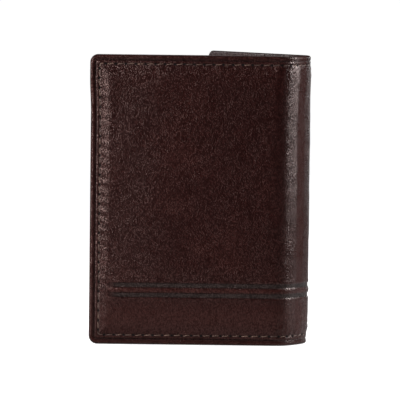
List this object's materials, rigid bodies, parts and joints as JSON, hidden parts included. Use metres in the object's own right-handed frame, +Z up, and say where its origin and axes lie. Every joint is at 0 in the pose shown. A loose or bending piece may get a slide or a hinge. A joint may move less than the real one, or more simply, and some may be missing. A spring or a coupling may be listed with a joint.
{
  "type": "trifold wallet",
  "caption": "Portrait trifold wallet in dark brown leather, standing ajar, with a snap coin pocket, card slots and a clear card window on the folded-in leaf.",
  "frame": {"origin": "on the surface it stands on, below the middle of the footprint it has standing ajar", "axes": "+Z up along the wallet's height, -Y out of the front leaf's outer face, +X from the front leaf's free edge to the spine"},
  "size_m": [0.0794, 0.0762, 0.105],
  "materials": {
    "leather": "smooth glossy dark brown leather",
    "board": "plain board inside the leaves",
    "lining": "dark woven lining",
    "thread": "olive brown sewing thread",
    "metal": "antique brass",
    "film": "clear plastic film"
  },
  "bodies": {
    "front_leaf": {"front_cover_leather": "leather", "front_seam_thread": "thread", "front_stiffener": "board", "front_lining": "lining", "front_inner_panel": "leather", "front_slip_panel": "leather", "front_card_slot": "leather", "coin_flap_tab": "leather", "coin_pocket_gusset": "leather", "coin_pocket_front": "leather", "snap_post": "metal", "snap_stud": "metal"},
    "coin_flap": {"coin_flap_leather": "leather", "snap_cap": "metal", "snap_socket": "metal"},
    "spine": {"spine_leather": "leather", "spine_lining": "lining", "spine_seam_thread_low": "thread", "spine_seam_thread_high": "thread"},
    "back_leaf": {"back_cover_leather": "leather", "back_seam_thread": "thread", "back_stiffener": "board", "back_lining": "lining", "back_inner_panel": "leather", "back_card_slot_1": "leather", "back_card_slot_2": "leather", "back_card_slot_3": "leather", "third_leaf_tab": "leather"},
    "third_leaf": {"third_leaf_leather": "leather", "third_seam_thread": "thread", "third_stiffener": "board", "third_inner_panel": "leather", "card_window_film": "film", "card_window_frame": "leather"}
  },
  "joints": [
    {"name": "spine_front_fold", "type": "hinge", "parent": "front_leaf", "child": "spine", "pos_m": [0.02933, -0.03642, 0.0525], "axis": [0, 0, -1], "range_deg": [-29, 61]},
    {"name": "spine_back_fold", "type": "hinge", "parent": "spine", "child": "back_leaf", "pos_m": [0.03781, -0.02112, 0.0525], "axis": [0, 0, -1], "range_deg": [-29, 61]},
    {"name": "third_leaf_fold", "type": "hinge", "parent": "back_leaf", "child": "third_leaf", "pos_m": [-0.00218, 0.03266, 0.0515], "axis": [0, 0, -1], "range_deg": [0, 175]},
    {"name": "coin_flap_fold", "type": "hinge", "parent": "front_leaf", "child": "coin_flap", "pos_m": [-0.00767, -0.02992, 0.0505], "axis": [1, 0, 0], "range_deg": [0, 175]}
  ],
  "couplings": [
    {"joint": "spine_back_fold", "follows": "spine_front_fold", "ratio": 1}
  ]
}
